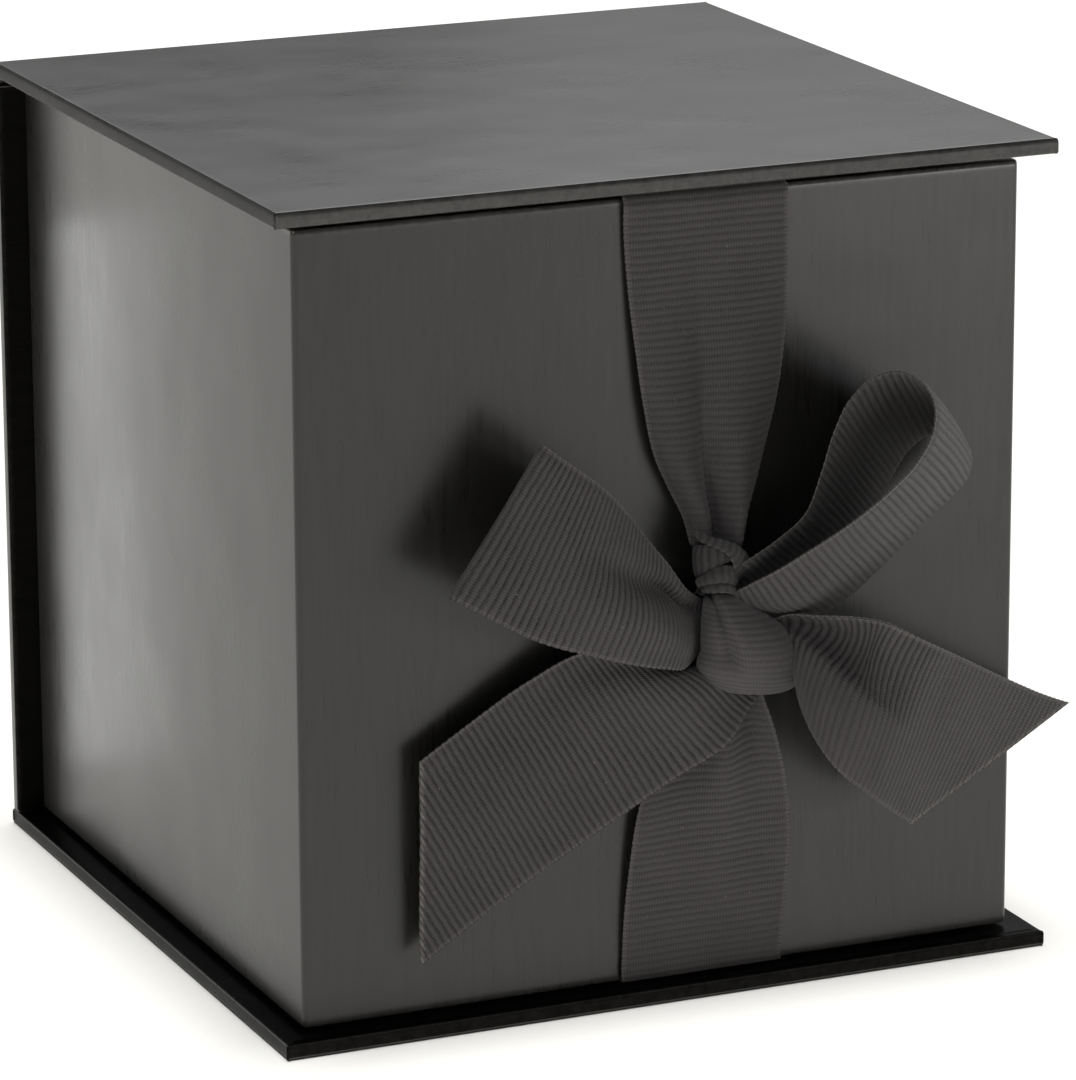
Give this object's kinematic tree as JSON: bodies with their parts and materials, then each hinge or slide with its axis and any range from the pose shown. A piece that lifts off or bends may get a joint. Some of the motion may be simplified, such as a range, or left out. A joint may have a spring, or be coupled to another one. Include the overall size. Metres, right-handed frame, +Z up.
{
  "type": "hinged-lid gift box",
  "caption": "Rigid paper-covered gift box with a hinged overhanging lid, a glued inner tray, and a grosgrain ribbon tied in a bow on the front.",
  "frame": {"origin": "centre of the base's underside", "axes": "+X to the right along the front, +Y from the front with the bow towards the spine, +Z up"},
  "size_m": [0.12, 0.1407, 0.1219],
  "materials": {
    "cover_paper": "satin charcoal covering paper with a fine laid grain",
    "lining_paper": "matt charcoal lining paper",
    "greyboard": "uncoated recycled greyboard",
    "stay_paper": "gummed kraft stay tape",
    "ribbon": "charcoal ribbed grosgrain with flat selvages"
  },
  "bodies": {
    "root": {"base_board": "greyboard", "base_wrap": "cover_paper", "base_mounting_card": "greyboard", "spine_board": "greyboard", "spine_wrap": "cover_paper", "spine_lining": "lining_paper", "lid_hinge_paper": "cover_paper", "tray_floor_board": "greyboard", "tray_front_wall": "greyboard", "tray_rear_wall": "greyboard", "tray_left_wall": "greyboard", "tray_right_wall": "greyboard", "corner_stay_front_left": "stay_paper", "corner_stay_front_right": "stay_paper", "corner_stay_rear_left": "stay_paper", "corner_stay_rear_right": "stay_paper", "tray_wrap": "cover_paper", "tray_wall_lining": "lining_paper", "tray_floor_lining": "lining_paper", "upper_ribbon": "ribbon", "lower_ribbon": "ribbon", "bow_knot": "ribbon", "bow_knot_collar": "ribbon", "bow_left_loop_front": "ribbon", "bow_left_loop_back": "ribbon", "bow_right_loop_front": "ribbon", "bow_right_loop_back": "ribbon", "bow_left_tail": "ribbon", "bow_right_tail": "ribbon"},
    "lid": {"lid_board": "greyboard", "lid_wrap": "cover_paper", "lid_lining": "lining_paper"}
  },
  "joints": [
    {"name": "lid_hinge", "type": "hinge", "parent": "root", "child": "lid", "pos_m": [0, 0.0593, 0.11895], "axis": [-1, 0, 0], "range_deg": [0, 180]}
  ]
}
